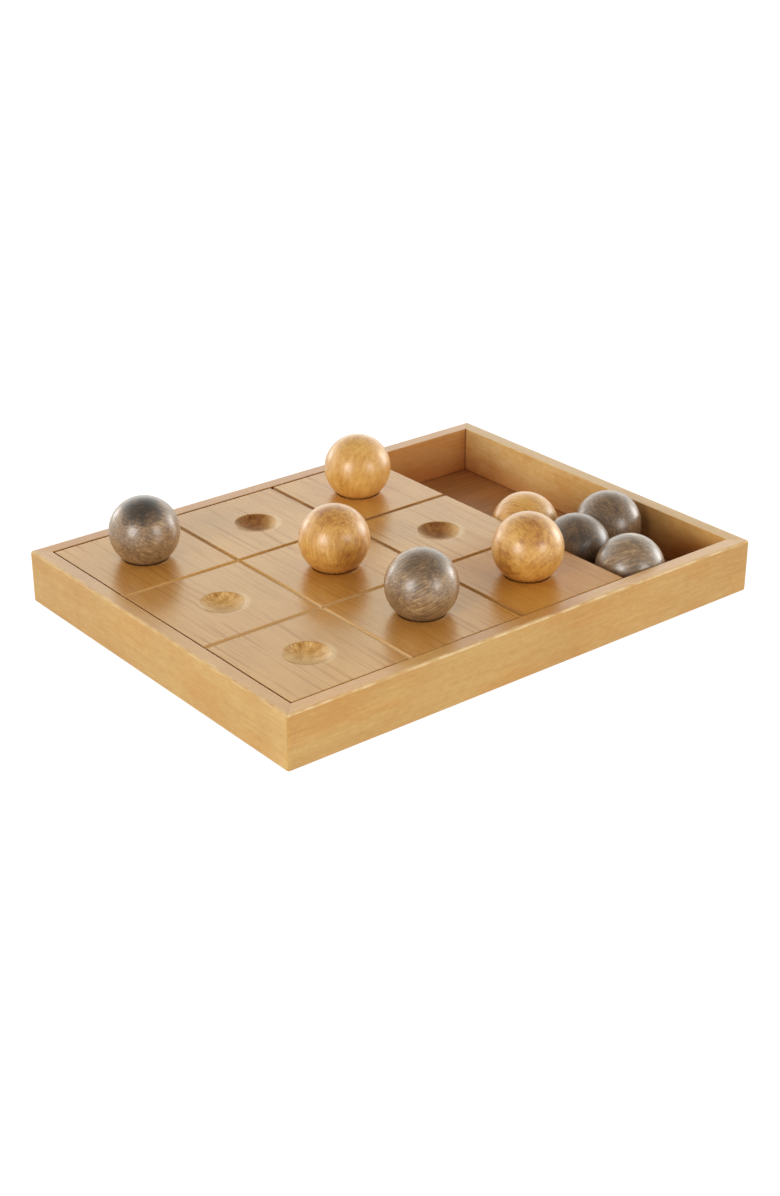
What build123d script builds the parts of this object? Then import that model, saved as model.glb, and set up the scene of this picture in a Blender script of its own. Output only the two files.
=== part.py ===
from build123d import *
import math
import os

# Noughts-and-crosses table game: a shallow mitred hardwood tray, a grooved
# playing board with nine dished seats, an open trough at one end for the spare
# balls, and nine turned wooden balls (five dark, four light).
#
# Frame: millimetres, +Z up, +X along the long side towards the ball trough,
# front is -Y, origin at the centre of the footprint on the plane the tray stands on.

os.makedirs("parts", exist_ok=True)

# ---------------------------------------------------------------- dimensions
tray_length = 406.0        # outside, along X
tray_width = 305.0         # outside, along Y
rail_height = 39.0
rail_thick = 11.5
foot_lift = 1.5            # how far the foot pads hold the rails off the table
corner_round = 2.0         # upright outer corners
top_outer_round = 2.0      # eased outer top arris
top_inner_round = 0.5      # eased inner top arris
bottom_round = 1.6         # eased outer bottom arris
mitre_glue_line = 0.08     # total width of the glue line in each mitre
mitre_reach = 30.0         # how far in from the outside a rail's wedge goes

rebate_width = 5.0         # step in the rails that takes the base panel
base_thick = 3.0
base_inset = 0.3           # base panel's underside above the rails' underside
base_clear = 0.2           # clearance round the base panel

board_size = 280.0         # playing board, square
board_thick = 12.0
board_gap = 1.0            # shadow gap between board and left rail
board_drop = 0.3           # board's face below the rails' top
board_edge_round = 0.4
grid_half = 47.6           # grid grooves either side of the board's centre
groove_half_width = 1.75
groove_depth = 1.2

ball_dia = 49.5
seat_radius = 25.4         # spherical radius of each dished seat
seat_depth = 5.3
seat_lip_round = 1.0
ball_lift = 0.03           # ball held this far off the seat or trough floor

bearer_thick = 12.0        # strips under the playing board
bearer_clear = 0.15

spline_thick = 2.0         # hidden loose tongues in the mitres
spline_width = 8.0
spline_height = 26.0
spline_rise = 8.0          # tongue's lower end above the rails' underside
spline_clear = 0.05
spline_chamfer = 0.3

brad_dia = 1.2             # headless pins through the base panel's edge
brad_length = 12.0         # hidden end above the panel's underside
brad_sink = 0.1            # visible end above the panel's underside
brad_clear = 0.02          # round the pin
brad_end_clear = 0.05      # beyond the hidden end
brad_offset = 0.4          # brad line outwards from the middle of the rebate

foot_dia = 14.0
foot_inset = 14.0          # pad centre in from the rails' inner faces
foot_round = 0.5

face_gap = 0.02            # between faces that stack on one another
overcut = 1.0              # cutters run past the material by this
long_overcut = 5.0         # the same, for mitre wedges and grooves

# ------------------------------------------------------------- derived sizes
x_outer = tray_length / 2
y_outer = tray_width / 2
x_inner = x_outer - rail_thick
y_inner = y_outer - rail_thick
z_rail_bottom = foot_lift
z_rail_top = z_rail_bottom + rail_height
z_base_bottom = z_rail_bottom + base_inset
z_floor = z_base_bottom + base_thick
z_board_top = z_rail_top - board_drop
z_board_bottom = z_board_top - board_thick
z_seat_bottom = z_board_top - seat_depth
board_x0 = -x_inner + board_gap
board_x1 = board_x0 + board_size
board_cx = (board_x0 + board_x1) / 2
ball_radius = ball_dia / 2
brad_radius = brad_dia / 2
# Seats stand midway between a groove and the board's edge.
seat_pitch = grid_half + (board_size / 2 - grid_half) / 2

# Sign of X and of Y at each corner of the tray.
corners = {
    "front_left": (-1, -1),
    "front_right": (1, -1),
    "rear_left": (-1, 1),
    "rear_right": (1, 1),
}


def box(x0, y0, z0, x1, y1, z1):
    centre = Pos((x0 + x1) / 2, (y0 + y1) / 2, (z0 + z1) / 2)
    return centre * Box(x1 - x0, y1 - y0, z1 - z0)


def centred_box(half_x, half_y, z0, z1):
    return box(-half_x, -half_y, z0, half_x, half_y, z1)


def save(shape, name):
    shape.label = name
    export_step(shape, "parts/" + name + ".step")


# ---------------------------------------------------------- tongues and brads
def spline_body(side_x, side_y, grow=0.0):
    """Upright tongue lying across one mitre, grown all round by grow."""
    body = Box(
        spline_thick + 2 * grow,
        spline_width + 2 * grow,
        spline_height + 2 * grow,
    )
    place = Pos(
        side_x * (x_outer - rail_thick / 2),
        side_y * (y_outer - rail_thick / 2),
        z_rail_bottom + spline_rise + spline_height / 2,
    )
    turn = 45.0 if side_x == side_y else -45.0
    return place * Rot(0, 0, turn) * body


def make_spline(side_x, side_y):
    tongue = spline_body(side_x, side_y).solids()[0]
    return chamfer(tongue.edges().filter_by(Axis.Z), spline_chamfer)


def brad_places():
    """Evenly spaced places along the rebate on every side."""
    outward = rebate_width / 2 + brad_offset
    places = []
    for x in (-150.0, -50.0, 50.0, 150.0):
        places += [(x, -y_inner - outward), (x, y_inner + outward)]
    for y in (-90.0, 0.0, 90.0):
        places += [(-x_inner - outward, y), (x_inner + outward, y)]
    return places


def brads(radius, z0, z1):
    return [Pos(x, y, (z0 + z1) / 2) * Cylinder(radius, z1 - z0) for x, y in brad_places()]


# ------------------------------------------------- the rail frame, then mitred
def make_frame():
    """All four rails in one ring, with every edge, slot and hole worked."""
    frame = centred_box(x_outer, y_outer, z_rail_bottom, z_rail_top)
    frame = fillet(frame.edges().filter_by(Axis.Z), corner_round)
    frame = fillet(frame.faces().sort_by(Axis.Z)[-1].edges(), top_outer_round)
    frame = fillet(frame.faces().sort_by(Axis.Z)[0].edges(), bottom_round)
    frame -= centred_box(x_inner, y_inner, z_rail_bottom - overcut, z_rail_top + overcut)
    inner_top = [
        edge
        for edge in frame.edges()
        if abs(edge.center().Z - z_rail_top) < 1e-4
        and abs(edge.center().X) < x_inner + 0.1
        and abs(edge.center().Y) < y_inner + 0.1
    ]
    frame = fillet(inner_top, top_inner_round)
    frame -= centred_box(
        x_inner + rebate_width,
        y_inner + rebate_width,
        z_rail_bottom - overcut,
        z_floor + face_gap,
    )
    for side_x, side_y in corners.values():
        frame -= spline_body(side_x, side_y, spline_clear)
    hole_top = z_base_bottom + brad_length + brad_end_clear
    for hole in brads(brad_radius + brad_clear, z_rail_bottom - 2 * overcut, hole_top):
        frame -= hole
    return frame


def mitre_wedge(along_x, sign):
    """Trapezoid block holding one rail, its ends half a glue line off the mitres."""
    half_along, half_across = (x_outer, y_outer) if along_x else (y_outer, x_outer)
    end_gap = mitre_glue_line / 2 * math.sqrt(2)
    outer_end = half_along + long_overcut - end_gap
    inner_end = half_along - mitre_reach - end_gap
    outer_side = sign * (half_across + long_overcut)
    inner_side = sign * (half_across - mitre_reach)
    # Columns: along the rail, across it.
    points = [
        (-outer_end, outer_side),
        (outer_end, outer_side),
        (inner_end, inner_side),
        # both ends of the inner side step the same distance in from the mitres
        (-half_along + mitre_reach + end_gap, inner_side),
    ]
    if not along_x:
        points = [(across, along) for along, across in points]
    outline = Polygon(*[Vector(x, y) for x, y in points], align=None)
    block = extrude(outline, rail_height + 2 * long_overcut, dir=(0, 0, 1))
    return Pos(0, 0, z_rail_bottom - long_overcut) * block


# Name: whether the rail runs along X, and which side of the centre it is on.
rails = {
    "front_rail": (True, -1),
    "rear_rail": (True, 1),
    "left_rail": (False, -1),
    "right_rail": (False, 1),
}
rail_frame = make_frame()
for name, (along_x, sign) in rails.items():
    rail = rail_frame & mitre_wedge(along_x, sign)
    save(rail.solids()[0], name)

for name, (side_x, side_y) in corners.items():
    save(make_spline(side_x, side_y), "spline_" + name)


# ---------------------------------------------------------------- base panel
def make_base():
    margin = rebate_width - base_clear
    base = centred_box(x_inner + margin, y_inner + margin, z_base_bottom, z_floor)
    for hole in brads(brad_radius + brad_clear, z_base_bottom - overcut, z_floor + overcut):
        base -= hole
    return base.solids()[0]


save(make_base(), "base_panel")

pins = brads(brad_radius, z_base_bottom + brad_sink, z_base_bottom + brad_length)
save(Compound(children=[pin.solids()[0] for pin in pins]), "base_brads")

# ------------------------------------------- strips that carry the play board
bearer_y = y_inner - bearer_clear                  # outer faces, front and rear
bearer_y_in = bearer_y - bearer_thick              # inner faces of those strips
centre_y = bearer_y_in - bearer_clear              # ends of the centre strip
left_x = -x_inner + bearer_clear
wall_x = board_x1 - bearer_thick
long_x0 = left_x + bearer_thick + bearer_clear     # ends of front and rear strips
long_x1 = wall_x - bearer_clear

# Columns: x0, y0, x1, y1.
bearers = {
    "trough_wall": (wall_x, -bearer_y, board_x1, bearer_y),
    "bearer_left": (left_x, -bearer_y, left_x + bearer_thick, bearer_y),
    "bearer_front": (long_x0, -bearer_y, long_x1, -bearer_y_in),
    "bearer_rear": (long_x0, bearer_y_in, long_x1, bearer_y),
    "bearer_centre": (
        board_cx - bearer_thick / 2, -centre_y, board_cx + bearer_thick / 2, centre_y,
    ),
}
for name, (x0, y0, x1, y1) in bearers.items():
    bearer = box(x0, y0, z_floor + face_gap, x1, y1, z_board_bottom - face_gap)
    save(bearer.solids()[0], name)

# -------------------------------------------------------------- playing board
# Right half of the groove section, from above the board's face to the bottom.
# Columns: distance from the groove's middle, height from the board's face.
groove_half = [
    (groove_half_width + 0.35, 0.3),
    (groove_half_width + 0.35, 0.0),
    (groove_half_width + 0.1, -0.06),
    (groove_half_width - 0.1, -0.27),
    (0.75 * groove_half_width, -0.62 * groove_depth),
    (0.45 * groove_half_width, -0.90 * groove_depth),
    (0.15 * groove_half_width, -groove_depth),
]
groove_profile = [(-across, height) for across, height in groove_half] + groove_half[::-1]


def groove(along_x, offset):
    face = Polygon(*[Vector(*point) for point in groove_profile], align=None)
    bar = extrude(face, board_size / 2 + long_overcut, both=True)
    bar = Rot(90, 0, 0) * bar      # section upright, bar along Y
    if along_x:
        return Pos(board_cx, offset, z_board_top) * Rot(0, 0, 90) * bar
    return Pos(board_cx + offset, 0, z_board_top) * bar


def make_board():
    half = board_size / 2
    board = box(board_x0, -half, z_board_bottom, board_x1, half, z_board_top)
    board = fillet(board.edges().filter_by(Axis.Z), board_edge_round)
    board = fillet(board.faces().sort_by(Axis.Z)[-1].edges(), board_edge_round)
    for side in (-1, 1):
        board -= groove(True, side * grid_half)
        board -= groove(False, side * grid_half)

    for i in (-1, 0, 1):
        for j in (-1, 0, 1):
            x, y = board_cx + i * seat_pitch, j * seat_pitch
            board -= Pos(x, y, z_seat_bottom + seat_radius) * Sphere(seat_radius)
    lip_radius = math.sqrt(2 * seat_radius * seat_depth - seat_depth**2)
    rims = [
        edge
        for edge in board.edges()
        if edge.geom_type == GeomType.CIRCLE
        and abs(edge.radius - lip_radius) < 0.05
        and abs(edge.center().Z - z_board_top) < 1e-3
    ]
    return fillet(rims, seat_lip_round).solids()[0]


save(make_board(), "playing_board")

# ---------------------------------------------------------------------- balls
# Seat of each ball in play: steps along X and along Y from the centre seat.
board_balls = {
    "ball_dark_1": (-1, 1),
    "ball_dark_2": (0, -1),
    "ball_light_1": (1, 1),
    "ball_light_2": (0, 0),
    "ball_light_3": (1, -1),
}
# Spare balls: gap along X from the board's right edge to the ball, and centre Y.
trough_balls = {
    "ball_light_4": (0.3, -14.2),
    "ball_dark_3": (49.4, -50.8),
    "ball_dark_4": (1.9, -66.5),
    "ball_dark_5": (6.4, -y_inner + ball_radius + 0.15),
}


def save_ball(name, x, y, z_rest):
    ball = Pos(x, y, z_rest + ball_radius + ball_lift) * Sphere(ball_radius)
    save(ball.solids()[0], name)


for name, (i, j) in board_balls.items():
    save_ball(name, board_cx + i * seat_pitch, j * seat_pitch, z_seat_bottom)
for name, (gap, y) in trough_balls.items():
    save_ball(name, board_x1 + ball_radius + gap, y, z_floor)


# ------------------------------------------------------------------ foot pads
def make_foot(side_x, side_y):
    height = z_base_bottom - face_gap
    place = Pos(side_x * (x_inner - foot_inset), side_y * (y_inner - foot_inset), height / 2)
    foot = place * Cylinder(foot_dia / 2, height)
    foot = fillet(foot.edges().sort_by(Axis.Z)[0], foot_round)
    return foot.solids()[0]


for name, (side_x, side_y) in corners.items():
    save(make_foot(side_x, side_y), "foot_pad_" + name)
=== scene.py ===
"""A wooden marble-style board game: a square tray, a board with nine dished seats, nine balls.

The frame is in metres with +Z up. The front rail lies towards -Y and the left rail towards -X.
The open trough runs along the right side (+X) of the board. Materials and the board mesh are
worked out in millimetres.
"""
import math

import bmesh
import bpy
import numpy as np
from mathutils import Matrix, Vector, noise as vector_noise


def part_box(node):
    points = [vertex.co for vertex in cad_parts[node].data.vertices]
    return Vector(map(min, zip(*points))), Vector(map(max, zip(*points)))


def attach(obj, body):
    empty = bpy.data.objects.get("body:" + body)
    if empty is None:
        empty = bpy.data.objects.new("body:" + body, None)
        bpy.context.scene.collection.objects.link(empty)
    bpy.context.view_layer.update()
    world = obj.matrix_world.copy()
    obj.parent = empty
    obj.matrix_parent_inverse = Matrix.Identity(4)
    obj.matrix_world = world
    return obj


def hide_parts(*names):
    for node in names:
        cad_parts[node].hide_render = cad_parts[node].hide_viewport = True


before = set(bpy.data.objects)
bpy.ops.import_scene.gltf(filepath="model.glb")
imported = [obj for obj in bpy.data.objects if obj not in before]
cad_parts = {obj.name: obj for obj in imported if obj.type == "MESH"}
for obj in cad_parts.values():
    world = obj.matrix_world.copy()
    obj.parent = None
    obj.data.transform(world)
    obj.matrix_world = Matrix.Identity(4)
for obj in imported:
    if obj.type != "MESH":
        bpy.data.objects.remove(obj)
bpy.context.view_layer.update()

MM = 0.001
MM_PER_M = 1000.0
scene = bpy.context.scene

# ------------------------------------------------------------------ sizes, in millimetres

board_lo, board_hi = [corner * MM_PER_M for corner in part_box("playing_board")]
BOARD_X = (board_lo.x + board_hi.x) / 2
BOARD_Y = (board_lo.y + board_hi.y) / 2
BOARD_TOP = board_hi.z
BOARD_THICK = board_hi.z - board_lo.z
HALF = (board_hi.x - board_lo.x) / 2  # half the board's width

GROOVE_AT = 47.6  # groove centre lines, from the middle of the board
SEAT_PITCH = GROOVE_AT + (HALF - GROOVE_AT) / 2
SEAT_SPHERE = 25.4  # radius of the sphere each dish is cut with
SEAT_DEPTH = 5.3

rail_boxes = {side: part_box(side + "_rail") for side in ("front", "rear", "left", "right")}
RAIL_TOP = max(box[1].z for box in rail_boxes.values()) * MM_PER_M
FRONT_OUTER = rail_boxes["front"][0].y * MM_PER_M
LEFT_OUTER = rail_boxes["left"][0].x * MM_PER_M
REAR_INNER = rail_boxes["rear"][0].y * MM_PER_M
RIGHT_INNER = rail_boxes["right"][0].x * MM_PER_M

# ------------------------------------------------------------------ camera directions

CAMERA_YAW = math.radians(38.50999964)
CAMERA_DIP = math.radians(25.79506704)
CAMERA_ROLL = math.radians(-0.17636914)
VIEW = Vector((
    math.sin(CAMERA_YAW) * math.cos(CAMERA_DIP),
    math.cos(CAMERA_YAW) * math.cos(CAMERA_DIP),
    -math.sin(CAMERA_DIP),
))
VIEW_RIGHT = Vector((math.cos(CAMERA_YAW), -math.sin(CAMERA_YAW), 0.0))
VIEW_UP = VIEW_RIGHT.cross(VIEW)
LEVEL_VIEW = Vector((math.sin(CAMERA_YAW), math.cos(CAMERA_YAW), 0.0))


def as_seen(right, up, toward):
    """Unit direction given by its parts to the right, up and towards the camera."""
    return (VIEW_RIGHT * right + VIEW_UP * up - VIEW * toward).normalized()


# ------------------------------------------------------------------ shader nodes


def add_node(tree, kind, inputs=None, output=0, **settings):
    """Add a node, fill its inputs by name or number, and return one of its outputs."""
    count = len(tree.nodes)
    node = tree.nodes.new(kind)
    node.location = (180 * (count % 12), -220 * (count // 12))
    for key, value in settings.items():
        setattr(node, key, value)
    for key, value in (inputs or {}).items():
        if isinstance(value, Signal):
            tree.links.new(value.node.outputs[value.output], node.inputs[key])
        else:
            node.inputs[key].default_value = value
    return Signal(tree, node, output)


def math_node(tree, operation, *values):
    return add_node(tree, "ShaderNodeMath", dict(enumerate(values)), operation=operation)


class Signal:
    """A node's output. Each operator or method call on it adds nodes to its tree."""

    def __init__(self, tree, node, output):
        self.tree = tree
        self.node = node
        self.output = output

    def add(self, kind, inputs, output=0, **settings):
        return add_node(self.tree, kind, inputs, output, **settings)

    def math(self, operation, *others):
        return math_node(self.tree, operation, self, *others)

    def __add__(self, other):
        return self.math("ADD", other)

    def __radd__(self, other):
        return math_node(self.tree, "ADD", other, self)

    def __sub__(self, other):
        return self.math("SUBTRACT", other)

    def __rsub__(self, other):
        return math_node(self.tree, "SUBTRACT", other, self)

    def __mul__(self, other):
        return self.math("MULTIPLY", other)

    def __rmul__(self, other):
        return math_node(self.tree, "MULTIPLY", other, self)

    def __truediv__(self, other):
        return self.math("DIVIDE", other)

    def __rtruediv__(self, other):
        return math_node(self.tree, "DIVIDE", other, self)

    def __abs__(self):
        return self.math("ABSOLUTE")

    def max(self, other):
        return self.math("MAXIMUM", other)

    def min(self, other):
        return self.math("MINIMUM", other)

    def centred(self, amount):
        """Turn a 0..1 noise into a shift either side of zero."""
        return (self - 0.5) * amount

    def ease(self, start, end, low=0.0, high=1.0, kind="SMOOTHSTEP"):
        """Go smoothly from low to high as this value goes from start to end, then hold."""
        inputs = {"Value": self, "From Min": start, "From Max": end, "To Min": low, "To Max": high}
        return self.add("ShaderNodeMapRange", inputs, "Result", interpolation_type=kind)

    def remap(self, start, end, low=0.0, high=1.0):
        """Like ease, but in a straight line."""
        return self.ease(start, end, low, high, kind="LINEAR")

    def vector(self, operation, *others, output=0):
        inputs = dict(enumerate((self, *others)))
        return self.add("ShaderNodeVectorMath", inputs, output, operation=operation)

    def scale(self, factor):
        return self.add("ShaderNodeVectorMath", {0: self, 3: factor}, operation="SCALE")

    def dot(self, direction):
        return self.vector("DOT_PRODUCT", tuple(direction), output=1)

    def split(self):
        node = self.add("ShaderNodeSeparateXYZ", {0: self}).node
        return [Signal(self.tree, node, axis) for axis in range(3)]

    def noise(self, freq=None, detail=3.0, roughness=0.5, output="Fac"):
        """Noise at this point; freq is per millimetre, one number or one for each axis."""
        point = self
        if isinstance(freq, tuple):
            point = self.vector("MULTIPLY", freq)
        elif freq:
            point = self.scale(freq)
        inputs = {"Vector": point, "Scale": 1.0, "Detail": detail, "Roughness": roughness}
        return self.add("ShaderNodeTexNoise", inputs, output)

    def wander(self, freq, amount, mask=None):
        """Shift this point by a vector noise, along the masked axes only."""
        shift = self.noise(freq, detail=2.0, output="Color")
        shift = shift.vector("SUBTRACT", (0.5, 0.5, 0.5)).scale(amount)
        if mask:
            shift = shift.vector("MULTIPLY", mask)
        return self.vector("ADD", shift)

    def between(self, start, end):
        """Number between start and end, this value being the factor."""
        return self.add("ShaderNodeMix", {0: self, 2: start, 3: end}, data_type="FLOAT")

    def mix(self, first, second):
        """Colour between first and second, this value being the factor."""
        return mix_colours(self.tree, self, first, second, "MIX")

    def times(self, rgb):
        """This colour multiplied by another."""
        other = rgb if isinstance(rgb, Signal) else (*rgb, 1.0)
        return mix_colours(self.tree, 1.0, self, other, "MULTIPLY")

    def tint(self, factor, rgb):
        """This colour multiplied by another as far as the factor says."""
        return factor.mix(self, self.times(rgb))

    def ramp(self, stops):
        """Colour ramp of (position, colour) stops."""
        result = self.add("ShaderNodeValToRGB", {0: self})
        elements = result.node.color_ramp.elements
        elements.remove(elements[-1])
        elements[0].position, elements[0].color = stops[0]
        for position, colour in stops[1:]:
            elements.new(position).color = colour
        return result

    def bump(self, strength, distance, normal=None):
        """Normal from this height; distance is in metres."""
        inputs = {"Strength": strength, "Distance": distance, "Height": self}
        if normal is not None:
            inputs["Normal"] = normal
        return self.add("ShaderNodeBump", inputs)


def mix_colours(tree, factor, first, second, blend):
    return add_node(tree, "ShaderNodeMix", {0: factor, 6: first, 7: second}, 2,
                    data_type="RGBA", blend_type=blend, clamp_factor=True)


def srgb(red, green, blue):
    """sRGB 0-255 to a linear colour."""
    linear = []
    for value in (red, green, blue):
        value = value / 255.0
        low = value <= 0.04045
        linear.append(value / 12.92 if low else ((value + 0.055) / 1.055) ** 2.4)
    return (*linear, 1.0)


def new_material(name):
    material = bpy.data.materials.new(name)
    material.use_nodes = True
    material.node_tree.nodes.clear()
    return material, material.node_tree


def add_principled(tree, inputs):
    surface = add_node(tree, "ShaderNodeBsdfPrincipled", inputs)
    add_node(tree, "ShaderNodeOutputMaterial", {0: surface})


def object_mm(tree, turn=(0.0, 0.0, 0.0), offset=(0.0, 0.0, 0.0)):
    """Object coordinates in mm: turned so that X runs along the grain, and as they are."""
    coords = add_node(tree, "ShaderNodeTexCoord", output="Object")
    raw = add_node(tree, "ShaderNodeMapping", {"Vector": coords, "Scale": (MM_PER_M,) * 3})
    turned = {"Vector": raw, "Rotation": turn, "Location": offset}
    return add_node(tree, "ShaderNodeMapping", turned), raw


# ------------------------------------------------------------------ wood


def late_wood(layer, start, peak, shuffle, spread, faintest):
    """Dark band late in each growth layer, from start to peak; its strength varies by layer.

    layer counts the layers, shuffle steps the noise from one to the next, and spread is the
    part of that noise which goes from the faintest band to a full one.
    """
    place = layer.math("FRACT")
    band = place.ease(start, peak) * place.ease(peak, 1.0, 1.0, 0.0)
    number = layer.math("FLOOR") * shuffle
    strength = layer.add("ShaderNodeTexNoise", {"W": number, "Scale": 1.0, "Detail": 0.0},
                         "Fac", noise_dimensions="1D")
    return band * strength.ease(*spread, faintest, 1.0)


def flat_wood(name, turn, offset, palette, roughness, coat, coat_roughness, specular=0.5,
              amber=1.0, line_gain=1.0, cloudy=1.0, waviness=1.0, ring=1.0, pore=0.55,
              mottle=0.0, tone=0.0, streaks=None, finish=None):
    """Flat-sawn, lacquered wood with its grain along the turned X.

    palette is light, middle and dark in sRGB. amber is the blue part of the highlights.
    line_gain, cloudy, waviness, ring, pore, mottle and tone set how strongly each part of the
    figure shows. streaks is (frequency across the grain, strength). finish(raw, colour,
    roughness) returns the changed colour and roughness, and a factor on the coat.
    """
    material, tree = new_material(name)
    point, raw = object_mm(tree, turn, offset)
    # a slow wander of the grain, then a finer one
    across_only = (0.0, 1.0, 1.0)
    bent = point.wander((0.0045, 0.018, 0.018), 14.0 * waviness, across_only)
    bent = bent.wander((0.03, 0.12, 0.12), 1.6, across_only)
    # growth layers: shallow-curved shells that meet the face at a low angle
    _, across, through = bent.split()
    shell = across + through * 0.35
    shell = shell + bent.noise((0.006, 0.02, 0.0), detail=1.0) * (16.0 * waviness)
    layer_spacing = 3.4
    late = late_wood(shell / layer_spacing, start=0.45, peak=0.93, shuffle=7.31,
                     spread=(0.3, 0.7), faintest=0.15)
    # fibre streaks at three widths
    broad = bent.noise((0.020, 0.55, 0.55), detail=4.0, roughness=0.62)
    fine = bent.noise((0.045, 2.4, 2.4), detail=4.0, roughness=0.6)
    hair = bent.noise((0.16, 6.5, 6.5), detail=2.0)
    # pores: short dark dashes that come in patches
    patchy = bent.noise((0.03, 0.22, 0.22), detail=1.0).ease(0.4, 0.62, 0.25, 1.0)
    pores = hair.ease(0.60, 0.76) * patchy
    large_cloud = point.noise((0.010, 0.022, 0.022), detail=2.0, roughness=0.55)
    small_cloud = point.noise((0.035, 0.05, 0.05), detail=2.0)
    darkness = late.math("MULTIPLY_ADD", 0.30 * line_gain * ring, 0.0)
    for source, low, high, weight in (
        (broad, 0.30, 0.72, 0.36 * line_gain),
        (fine, 0.30, 0.72, 0.24 * line_gain),
        (large_cloud, 0.3, 0.7, 0.28 * cloudy),
        (small_cloud, 0.3, 0.7, 0.12 * cloudy),
    ):
        darkness = darkness + source.remap(low, high) * weight
    stops = [(place, srgb(*rgb)) for place, rgb in zip((0.05, 0.48, 1.0), palette)]
    colour = (darkness * 0.85).ramp(stops)
    colour = colour.tint(pores * pore, (0.42, 0.30, 0.20))
    if mottle:
        patch = point.noise((0.16, 0.42, 0.42), roughness=0.62)
        colour = colour.tint(patch.ease(0.50, 0.66, 0.0, mottle), (1.10, 1.16, 1.30))
        colour = colour.tint(patch.ease(0.48, 0.34, 0.0, mottle), (0.92, 0.86, 0.76))
    if tone:
        warmth = point.noise((0.012, 0.03, 0.03), roughness=0.6)
        colour = colour.tint(warmth.ease(0.42, 0.66, 0.0, tone), (1.0, 0.86, 0.66))
    if streaks:
        # a few soft darker bands following the grain
        streak_freq, streak_strength = streaks
        streak = bent.noise((0.0095, streak_freq, streak_freq), detail=1.5)
        streak = streak.ease(0.52, 0.70, 0.0, streak_strength)
        colour = colour.tint(streak, (0.74, 0.62, 0.50))
    specks = point.noise((0.5, 0.9, 0.9), detail=1.0).ease(0.735, 0.78, 0.0, 0.5)
    colour = colour.tint(specks, (0.5, 0.36, 0.25))
    rough = roughness + broad.centred(0.10)
    coat_factor = fine.remap(0.30, 0.70, 1.08, 0.90)
    if streaks:
        coat_factor = coat_factor * (1.0 - streak * 0.45)
    if finish:
        colour, rough, finish_factor = finish(raw, colour, rough)
        coat_factor = coat_factor * finish_factor
    relief = fine * 0.5 - pores * 0.6
    swell = point.noise((0.03, 0.07, 0.07), detail=1.0)
    add_principled(tree, {
        "Base Color": colour,
        "Roughness": rough,
        "IOR": 1.5,
        "Specular IOR Level": coat_factor * specular,
        "Specular Tint": (1.0, 0.98, amber, 1.0),
        "Coat Weight": coat_factor * coat,
        "Coat Roughness": coat_roughness,
        "Coat IOR": 1.5,
        "Normal": swell.bump(0.25, 0.0006, relief.bump(0.18, 0.00006)),
        "Coat Normal": swell.bump(0.22, 0.0006),
    })
    return material


def grain_turn(right, up, toward):
    """Rotation that puts X (the grain) along a direction given as seen by the camera."""
    along = as_seen(right, up, toward)
    reference = Vector((0.0, 0.0, 1.0)) if abs(along.z) < 0.9 else Vector((1.0, 0.0, 0.0))
    side = along.cross(reference).normalized()
    return tuple(Matrix((along, side, along.cross(side))).to_euler("XYZ"))


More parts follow.
